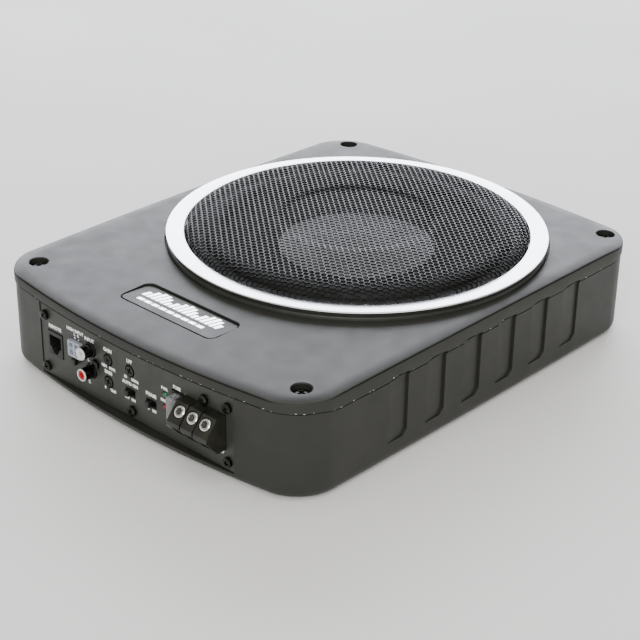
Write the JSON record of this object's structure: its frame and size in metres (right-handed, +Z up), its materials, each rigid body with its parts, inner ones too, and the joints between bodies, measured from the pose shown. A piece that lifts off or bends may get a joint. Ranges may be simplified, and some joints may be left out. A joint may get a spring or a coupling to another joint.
{
  "type": "powered car subwoofer",
  "caption": "Shallow under-seat powered bass box: cast enclosure, domed round grille over a driver, and an amplifier control panel in the bowed front wall.",
  "frame": {"origin": "on the underside, below the middle of the bounding box", "axes": "+Z up through the grille, -Y towards the side that the control panel faces, +X to the right when facing the panel"},
  "size_m": [0.2436, 0.3152, 0.0702],
  "materials": {
    "cast_housing": "satin charcoal paint on cast aluminium",
    "panel_paint": "satin black paint",
    "black_screws": "black oxide steel",
    "foam_seal": "matte foam",
    "black_plastic": "moulded black",
    "white_plastic": "natural white nylon",
    "red_plastic": "moulded red",
    "green_lens": "tinted green lens",
    "red_lens": "tinted red lens",
    "clear_plastic": "clear polycarbonate",
    "nickel_plate": "nickel plate",
    "ring_aluminium": "bright satin aluminium",
    "grille_steel": "black powder coat on perforated steel",
    "basket_steel": "black powder coat",
    "surround_rubber": "matte butyl rubber",
    "cone_paper": "dyed pressed pulp",
    "cap_plastic": "satin grey",
    "coil_copper": "enamelled copper wire",
    "spider_cloth": "impregnated cotton",
    "bare_steel": "zinc plate",
    "ferrite": "bare ferrite",
    "board_laminate": "green solder mask",
    "spreader_aluminium": "mill finish",
    "capacitor_sleeve": "shrink sleeve"
  },
  "bodies": {
    "enclosure": {"base_tray": "cast_housing", "top_cover": "cast_housing", "badge_plate": "cast_housing", "cover_seal": "foam_seal", "cover_screw_1": "black_screws", "cover_screw_2": "black_screws", "cover_screw_3": "black_screws", "cover_screw_4": "black_screws", "control_panel": "panel_paint", "panel_screw_1": "black_screws", "panel_screw_2": "black_screws", "panel_screw_3": "black_screws", "panel_screw_4": "black_screws", "panel_screw_5": "black_screws", "panel_screw_6": "black_screws", "panel_screw_7": "black_screws", "remote_jack": "black_plastic", "speaker_level_socket": "white_plastic", "speaker_level_latch": "black_plastic", "rca_block": "black_plastic", "rca_shell_left": "nickel_plate", "rca_shell_right": "nickel_plate", "rca_insulator_left": "white_plastic", "rca_insulator_right": "red_plastic", "gain_trimmer_body": "black_plastic", "bass_trimmer_body": "black_plastic", "lowpass_trimmer_body": "black_plastic", "turn_on_switch_body": "black_plastic", "phase_switch_body": "black_plastic", "power_lamp": "green_lens", "protect_lamp": "red_lens", "fuse_holder": "black_plastic", "terminal_block": "black_plastic", "trim_ring_base": "black_plastic", "trim_ring_face": "ring_aluminium", "grille": "grille_steel", "driver_basket": "basket_steel", "surround": "surround_rubber", "spider": "spider_cloth", "top_plate": "bare_steel", "magnet": "ferrite", "yoke": "bare_steel", "driver_terminal": "black_plastic", "amplifier_board": "board_laminate", "heat_spreader": "spreader_aluminium", "filter_inductor": "coil_copper", "capacitor_left": "capacitor_sleeve", "capacitor_right": "capacitor_sleeve"},
    "cone_assembly": {"cone": "cone_paper", "dust_cap": "cap_plastic", "voice_coil": "coil_copper"},
    "gain_knob": {"gain_adjuster": "black_plastic"},
    "bass_knob": {"bass_adjuster": "black_plastic"},
    "lowpass_knob": {"lowpass_adjuster": "black_plastic"},
    "turn_on_lever": {"turn_on_switch_lever": "black_plastic"},
    "phase_lever": {"phase_switch_lever": "black_plastic"},
    "fuse_link": {"blade_fuse": "clear_plastic"},
    "ground_clamp": {"terminal_screw_1": "nickel_plate"},
    "remote_clamp": {"terminal_screw_2": "nickel_plate"},
    "battery_clamp": {"terminal_screw_3": "nickel_plate"}
  },
  "joints": [
    {"name": "cone_travel", "type": "slide", "parent": "enclosure", "child": "cone_assembly", "axis": [0, 0, 1], "range_m": [-0.006, 0.006], "stiffness_N_per_m": 3000, "deforming": ["surround", "spider"]},
    {"name": "gain_turn", "type": "hinge", "parent": "enclosure", "child": "gain_knob", "pos_m": [-0.0203, -0.144, 0.0343], "axis": [0, -1, 0], "range_deg": [-140, 140]},
    {"name": "bass_turn", "type": "hinge", "parent": "enclosure", "child": "bass_knob", "pos_m": [-0.0203, -0.144, 0.0208], "axis": [0, -1, 0], "range_deg": [-140, 140]},
    {"name": "lowpass_turn", "type": "hinge", "parent": "enclosure", "child": "lowpass_knob", "pos_m": [-0.0025, -0.144, 0.0343], "axis": [0, -1, 0], "range_deg": [-140, 140]},
    {"name": "turn_on_slide", "type": "slide", "parent": "enclosure", "child": "turn_on_lever", "axis": [1, 0, 0], "range_m": [0, 0.002]},
    {"name": "phase_slide", "type": "slide", "parent": "enclosure", "child": "phase_lever", "axis": [1, 0, 0], "range_m": [0, 0.002]},
    {"name": "fuse_pull", "type": "slide", "parent": "enclosure", "child": "fuse_link", "axis": [0, -1, 0], "range_m": [0, 0.014]},
    {"name": "ground_clamp_turn", "type": "hinge", "parent": "enclosure", "child": "ground_clamp", "pos_m": [0.0466, -0.15327, 0.03368], "axis": [0, -0.7792, 0.6268], "range_deg": [0, 720]},
    {"name": "remote_clamp_turn", "type": "hinge", "parent": "enclosure", "child": "remote_clamp", "pos_m": [0.0561, -0.15327, 0.03368], "axis": [0, -0.7792, 0.6268], "range_deg": [0, 720]},
    {"name": "battery_clamp_turn", "type": "hinge", "parent": "enclosure", "child": "battery_clamp", "pos_m": [0.0656, -0.15327, 0.03368], "axis": [0, -0.7792, 0.6268], "range_deg": [0, 720]}
  ]
}
